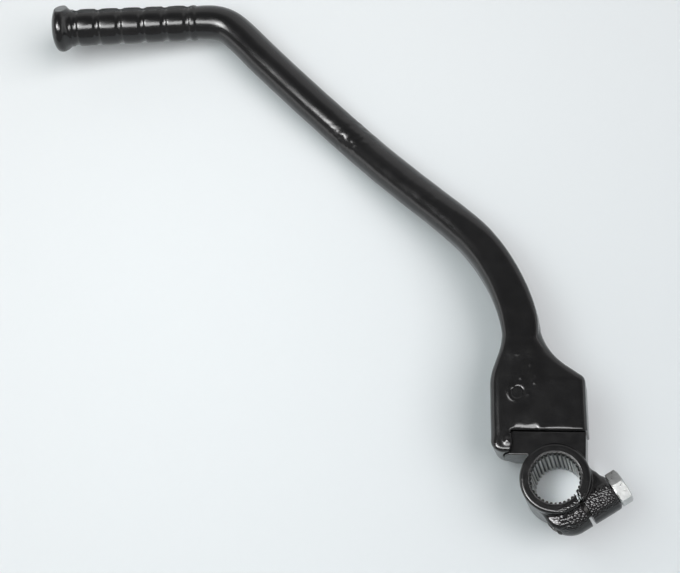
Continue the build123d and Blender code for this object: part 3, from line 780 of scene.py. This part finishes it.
paint_flat = paint("dull_black_flats", 0.50, 0.62, 0.10, 1300)
next(n for n in paint_flat.node_tree.nodes if n.type == "BSDF_PRINCIPLED").inputs["Specular IOR Level"].default_value = 0.2


def steel(name, c0, c1, r0, r1, scale, peel):
    mat, nt, bsdf = material(name)
    c = coords(nt)
    nt.links.new(ramp(nt, noise_node(nt, c, scale, 4), [(0.3, c0), (0.7, c1)]), bsdf.inputs["Base Color"])
    nt.links.new(ramp(nt, noise_node(nt, c, scale * 2.3, 4), [(0.3, grey(r0)), (0.7, grey(r1))]), bsdf.inputs["Roughness"])
    bsdf.inputs["Metallic"].default_value = 1.0
    bump(nt, bsdf, noise_node(nt, c, scale * 6, 3), peel, 0.0001)
    return mat


zinc = steel("bright_zinc", (0.40, 0.41, 0.41), (0.60, 0.61, 0.60), 0.26, 0.42, 420, 0.25)
# Bore teeth: bare steel on the crests, near-black towards the roots as painted shade between the teeth, and black paint
# over the front of the mouth.
bare, nt, bsdf = material("broached_steel")
c = coords(nt)
flatv = nt.nodes.new("ShaderNodeVectorMath")
flatv.operation = "MULTIPLY"
flatv.inputs[1].default_value = (1000.0, 1000.0, 0.0)
nt.links.new(c, flatv.inputs[0])
leng = nt.nodes.new("ShaderNodeVectorMath")
leng.operation = "LENGTH"
nt.links.new(flatv.outputs["Vector"], leng.inputs[0])
crest = nt.nodes.new("ShaderNodeMapRange")
crest.inputs["From Min"].default_value = 7.86
crest.inputs["From Max"].default_value = 7.46
nt.links.new(leng.outputs["Value"], crest.inputs["Value"])
sepz = nt.nodes.new("ShaderNodeSeparateXYZ")
nt.links.new(c, sepz.inputs["Vector"])
deep = nt.nodes.new("ShaderNodeMapRange")
deep.inputs["From Min"].default_value = 0.0222
deep.inputs["From Max"].default_value = 0.0210
nt.links.new(sepz.outputs["Z"], deep.inputs["Value"])
both = nt.nodes.new("ShaderNodeMath")
both.operation = "MULTIPLY"
nt.links.new(crest.outputs["Result"], both.inputs[0])
nt.links.new(deep.outputs["Result"], both.inputs[1])
grain = nt.nodes.new("ShaderNodeMath")
grain.operation = "MULTIPLY_ADD"
nt.links.new(noise_node(nt, c, 700, 4), grain.inputs[0])
grain.inputs[1].default_value = 0.5
grain.inputs[2].default_value = 0.72
# one on the bare crests below the mouth, nought in the roots (painted shade) and at the painted mouth
crest_steel_vs_shade_and_paint = nt.nodes.new("ShaderNodeMath")
crest_steel_vs_shade_and_paint.operation = "MULTIPLY"
nt.links.new(both.outputs["Value"], crest_steel_vs_shade_and_paint.inputs[0])
nt.links.new(grain.outputs["Value"], crest_steel_vs_shade_and_paint.inputs[1])
nt.links.new(ramp(nt, crest_steel_vs_shade_and_paint.outputs["Value"], [(0.0, grey(0.012)), (0.45, grey(0.16)), (1.0, (0.50, 0.50, 0.49))]), bsdf.inputs["Base Color"])
nt.links.new(ramp(nt, crest_steel_vs_shade_and_paint.outputs["Value"], [(0.0, grey(0.0)), (0.5, grey(0.8)), (1.0, grey(1.0))]), bsdf.inputs["Metallic"])
nt.links.new(ramp(nt, noise_node(nt, c, 900, 4), [(0.3, grey(0.30)), (0.7, grey(0.46))]), bsdf.inputs["Roughness"])
bump(nt, bsdf, noise_node(nt, c, 2500, 3), 0.25, 0.0001)
ball_steel = steel("ball_steel", (0.60, 0.60, 0.61), (0.72, 0.72, 0.73), 0.08, 0.16, 200, 0.03)
# Near-black steel for the bolt's shank: painted shade, standing in for the shadow inside the lug.
shank_shade_steel = steel("shank_painted_shade", (0.030, 0.030, 0.030), (0.070, 0.068, 0.065), 0.40, 0.55, 600, 0.20)
wire = steel("spring_wire", (0.25, 0.24, 0.23), (0.36, 0.35, 0.33), 0.30, 0.45, 500, 0.10)

rubber, nt, bsdf = material("seal_rubber")
c = coords(nt)
nt.links.new(ramp(nt, noise_node(nt, c, 400), [(0.3, grey(0.012)), (0.7, grey(0.022))]), bsdf.inputs["Base Color"])
nt.links.new(ramp(nt, noise_node(nt, c, 900), [(0.3, grey(0.55)), (0.7, grey(0.75))]), bsdf.inputs["Roughness"])


def wear(ob, mat):
    ob.data.materials.clear()
    ob.data.materials.append(mat)


wear(arm_obj, paint_arm)
arm_obj.data.materials.append(paint_flat)
arm_obj.data.polygons.foreach_set("material_index", TRIMMED.astype(np.int32))
wear(hub_obj, paint_hub)
wear(bore_obj, bare)
wear(bolt_obj, zinc)
# The shank side of the bolt wears the dark painted-shade steel, the head the zinc.
bolt_obj.data.materials.append(shank_shade_steel)
bolt_obj.data.polygons.foreach_set("material_index", [int(pl.center.x * UX + pl.center.y * UY < 0.0134) for pl in bolt_obj.data.polygons])
wear(nodes["retaining_pin"], paint_pin)
wear(nodes["detent_ball"], ball_steel)
wear(nodes["detent_spring"], wire)
wear(nodes["dust_seal"], rubber)

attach(arm_obj, "arm")
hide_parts("kick_arm")
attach(hub_obj, "hub")
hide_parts("clamp_hub")
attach(bore_obj, "hub")
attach(bolt_obj, "hub")
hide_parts("pinch_bolt")

# ------------------------------------------------------------------ floor
bpy.ops.mesh.primitive_plane_add(size=6.0, location=(0, 0, -0.00005))
floor = bpy.context.object
floor.name = "floor"
mat, nt, bsdf = material("pale_floor")
c = coords(nt)
# The floor's colour runs from lighter at the upper left to darker at the lower right: painted light falloff across the
# floor.
painted_falloff = nt.nodes.new("ShaderNodeMapRange")
painted_falloff.inputs["From Min"].default_value = -0.22
painted_falloff.inputs["From Max"].default_value = 0.16
nt.links.new(across(nt, c, (0.62, -0.62, 0)), painted_falloff.inputs["Value"])
nt.links.new(ramp(nt, painted_falloff.outputs["Result"], [(0.0, (0.855, 0.885, 0.900)), (0.6, (0.752, 0.795, 0.818)), (1.0, (0.645, 0.692, 0.712))]), bsdf.inputs["Base Color"])
bsdf.inputs["Roughness"].default_value = 0.6
bsdf.inputs["Specular IOR Level"].default_value = 0.2
floor.data.materials.append(mat)

# ------------------------------------------------------------------ camera
right = Vector((0.97806506, 0.05687856, -0.20038355))
up = Vector((0.00866346, 0.95005637, 0.31195807))
back = Vector((0.2081194, -0.30685131, 0.92872417))
cam_data = bpy.data.cameras.new("camera")
cam = bpy.data.objects.new("camera", cam_data)
bpy.context.scene.collection.objects.link(cam)
cam_data.sensor_fit = "HORIZONTAL"
cam_data.sensor_width = 36.0
cam_data.lens = 1500.0 * 36.0 / 680.0
cam_data.clip_start, cam_data.clip_end = 0.01, 20.0
rot = Matrix((right, up, back)).transposed()
cam.matrix_world = Matrix.Translation(Vector((0.031903, -0.089518, 0.483856))) @ rot.to_4x4()
bpy.context.scene.camera = cam


# ------------------------------------------------------------------ light
def area(name, direction, distance, size, power, colour=(1, 1, 1), aim=(-0.08, 0.08, 0.01), size_y=None):
    li = bpy.data.lights.new(name, "AREA")
    li.shape = "RECTANGLE" if size_y else "SQUARE"
    li.size = size
    if size_y:
        li.size_y = size_y
    li.energy = power
    li.color = colour
    ob = bpy.data.objects.new(name, li)
    bpy.context.scene.collection.objects.link(ob)
    d = Vector(direction).normalized()
    ob.location = Vector(aim) + d * distance
    ob.rotation_mode = "QUATERNION"
    ob.rotation_quaternion = d.to_track_quat("Z", "Y")
    return ob


def towards(az, el):
    a, e = math.radians(az), math.radians(el)
    return (math.cos(a) * math.cos(e), math.sin(a) * math.cos(e), math.sin(e))


def soft(name, az, el, wide, tall, radiance, colour=(1, 1, 1), distance=1.3):
    """Softbox given by where it stands, its size and its brightness."""
    return area(name, towards(az, el), distance, wide, radiance * math.pi * wide * tall, colour, size_y=tall)


def panel(name, centre, along, across_, length, width, radiance):
    """Flat lamp that only shows as a reflection, given by its two edge directions."""
    li = bpy.data.lights.new(name, "AREA")
    li.shape = "RECTANGLE"
    li.size, li.size_y = length, width
    li.energy = radiance * math.pi * length * width
    ob = bpy.data.objects.new(name, li)
    bpy.context.scene.collection.objects.link(ob)
    xd, yd = Vector(along).normalized(), Vector(across_).normalized()
    ob.matrix_world = Matrix.Translation(Vector(centre)) @ Matrix((xd, yd, xd.cross(yd))).transposed().to_4x4()
    ob.visible_diffuse = False
    return ob


# two lamps that light the floor
key = soft("right_box", -6, 51, 1.7, 1.7, 4.85, (1.0, 0.955, 0.95), distance=2.6)
key.visible_glossy = False
fill = area("top_box", (0, 0, 1), 1.09, 0.9, 1.06 * math.pi * 0.81, (0.90, 1.0, 1.0), aim=(-0.30, -0.10, 0.0))
fill.visible_glossy = False
near = area("pedal_box", (0, 0, 1), 0.22, 0.16, 1.45 * math.pi * 0.0256, (0.94, 1.0, 1.0), aim=(-0.14, 0.09, 0.0))
near.visible_glossy = False
near.visible_camera = False
for rank, (tag, centre, length, wide, inner, glow) in enumerate((("lamp", -0.16, 1.12, 0.36, 0.07, 9.5), ("halo", -0.16, 1.12, 0.44, 0.11, 1.4), ("haze", -0.46, 0.52, 0.58, 0.18, 0.6))):
    panel("front_" + tag, (centre, -0.37 + inner, 1.0 + 0.01 * rank), (1, 0, 0), (0, 1, 0), length, wide, glow)
for rank, (tag, wide, inner, glow) in enumerate((("lamp", 0.48, 0.13, 12.0), ("halo", 0.64, 0.21, 5.5), ("haze", 0.78, 0.28, 1.6))):
    panel("left_" + tag, (-0.827 + 0.90 * inner, -0.200 + 0.44 * inner, 1.035 + 0.01 * rank), (-0.44, 0.90, 0), (-0.90, -0.44, 0), 0.36, wide, glow)
panel("rear_low", (0.1, 1.6, 0.70), (-1, 0, 0), (0, 0, 1), 3.2, 1.4, 0.42)
panel("rear_high", (0.1, 1.62, 1.25), (-1, 0, 0), (0, 0, 1), 3.6, 2.5, 0.12)
panel("right_low", (1.9, 0.5, 0.30), (0, 1, 0), (0, 0, 1), 2.4, 0.6, 1.0)
panel("left_low", (-1.9, 0.0, 0.30), (0, -1, 0), (0, 0, 1), 2.4, 0.6, 1.2)

world = bpy.data.worlds.new("studio")
bpy.context.scene.world = world
world.use_nodes = True
wn = world.node_tree
bg = next(n for n in wn.nodes if n.type == "BACKGROUND")
tc = wn.nodes.new("ShaderNodeTexCoord")


def world_ramp(axis, stops):
    dot = wn.nodes.new("ShaderNodeVectorMath")
    dot.operation = "DOT_PRODUCT"
    wn.links.new(tc.outputs["Generated"], dot.inputs[0])
    dot.inputs[1].default_value = axis
    r = wn.nodes.new("ShaderNodeValToRGB")
    r.color_ramp.interpolation = "EASE"
    el = r.color_ramp.elements
    while len(el) < len(stops):
        el.new(0.5)
    for e, (pos, v) in zip(el, stops):
        e.position, e.color = pos, (v, v, v, 1)
    wn.links.new(dot.outputs["Value"], r.inputs["Fac"])
    return r.outputs["Color"]


base = world_ramp((0, 0, 1), [(0.0, 0.42), (0.2, 0.40), (0.45, 0.34), (0.88, 0.20), (1.0, 0.19)])
wn.links.new(base, bg.inputs["Color"])
bg.inputs["Strength"].default_value = 1.0

# light that reaches the floor through the bore
beam_data = bpy.data.lights.new("bore_fill", "SPOT")
beam_data.energy = 1.6
beam_data.shadow_soft_size = 0.004
beam_data.spot_size = 2 * math.atan(0.0122 / 0.25)
beam_data.spot_blend = 1.0
beam = bpy.data.objects.new("bore_fill", beam_data)
bpy.context.scene.collection.objects.link(beam)
aim = Vector((0.0066, -0.0010, 0.0))
away = Vector((-0.06, 0.04, 1.0)).normalized()
beam.location = aim + away * 0.25
beam.rotation_mode = "QUATERNION"
beam.rotation_quaternion = away.to_track_quat("Z", "Y")
lit = bpy.data.collections.new("floor_only")
lit.objects.link(floor)
beam.light_linking.receiver_collection = lit
bpy.context.scene.view_settings.view_transform = "Standard"
